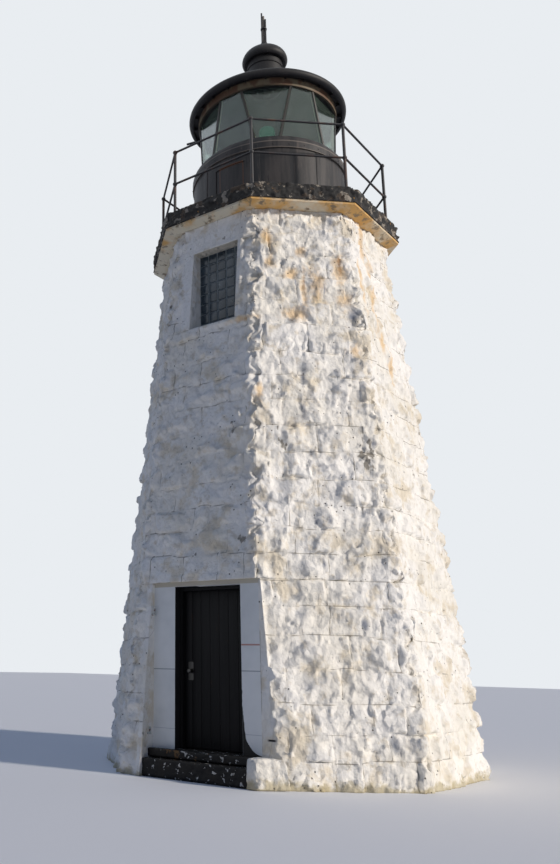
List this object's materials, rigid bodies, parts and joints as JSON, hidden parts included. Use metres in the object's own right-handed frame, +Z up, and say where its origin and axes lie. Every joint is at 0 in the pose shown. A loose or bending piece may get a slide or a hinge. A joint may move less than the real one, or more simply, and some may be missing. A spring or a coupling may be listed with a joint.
{
  "type": "stone harbour lighthouse",
  "caption": "Tapered octagonal stone lighthouse with a recessed door that opens, a railed gallery and a glazed iron lantern with a domed ventilator.",
  "frame": {"origin": "on the ground, at the tower's axis", "axes": "+Z up; the door faces -Y, so -X is to the left of someone who faces the door"},
  "size_m": [4.362, 4.362, 11.233],
  "materials": {
    "painted_granite": "rock-faced granite under thick white paint",
    "painted_surround": "smooth stone under white paint",
    "tarred_step": "stone under chipped black paint",
    "floor_stone": "worn flagstone",
    "black_door": "boards under black paint",
    "black_iron": "iron under black paint",
    "worn_steel": "worn steel",
    "painted_iron_white": "iron under white paint, rusting",
    "glass_block": "moulded glass blocks, dirty",
    "cornice_stone": "painted stone stained with ochre",
    "deck_stone": "rough stone under worn black paint",
    "lantern_iron": "cast iron under weathered black paint",
    "lantern_glass": "clear lantern glass",
    "lamp_grey": "grey painted metal",
    "green_lens": "green lens"
  },
  "bodies": {
    "tower": {"right_wall": "painted_granite", "back_right_wall": "painted_granite", "back_wall": "painted_granite", "back_left_wall": "painted_granite", "left_wall": "painted_granite", "front_left_wall": "painted_granite", "front_right_wall": "painted_granite", "front_right_foot": "painted_granite", "front_left_pier": "painted_granite", "front_wall": "painted_granite", "window_pier_left": "painted_granite", "window_pier_right": "painted_granite", "window_head": "painted_granite", "corner_stone": "painted_granite", "door_jamb_left": "painted_surround", "door_jamb_right": "painted_surround", "door_lintel": "painted_surround", "door_sill": "tarred_step", "upper_step": "tarred_step", "lower_step": "tarred_step", "ground_floor": "floor_stone", "door_frame": "black_door", "recess_pintles": "painted_iron_white", "window_glass_blocks": "glass_block", "cornice": "cornice_stone", "gallery_deck": "deck_stone", "rail_posts": "black_iron", "gallery_rails": "black_iron", "hinge_pintles": "black_iron", "lantern_drum": "lantern_iron", "gallery_hatch": "lantern_iron", "lantern_sill": "lantern_iron", "glazing_bars": "lantern_iron", "lantern_panes": "lantern_glass", "lantern_head": "lantern_iron", "lantern_soffit": "lantern_iron", "lantern_roof": "lantern_iron", "eave_ring": "lantern_iron", "soffit_knobs": "lantern_iron", "ventilator_neck": "lantern_iron", "ventilator_cap": "lantern_iron", "finial": "black_iron", "lamp_post": "lamp_grey", "beacon_lamp": "green_lens", "ventilator_ball": "black_iron", "overflow_pipe": "black_iron"},
    "door": {"door_leaf": "black_door", "door_hinges": "black_iron", "door_handle": "worn_steel"}
  },
  "joints": [
    {"name": "door_hinge", "type": "hinge", "parent": "tower", "child": "door", "pos_m": [0.577, -1.7028, 0.3], "axis": [0, 0, -1], "range_deg": [0, 90]}
  ]
}
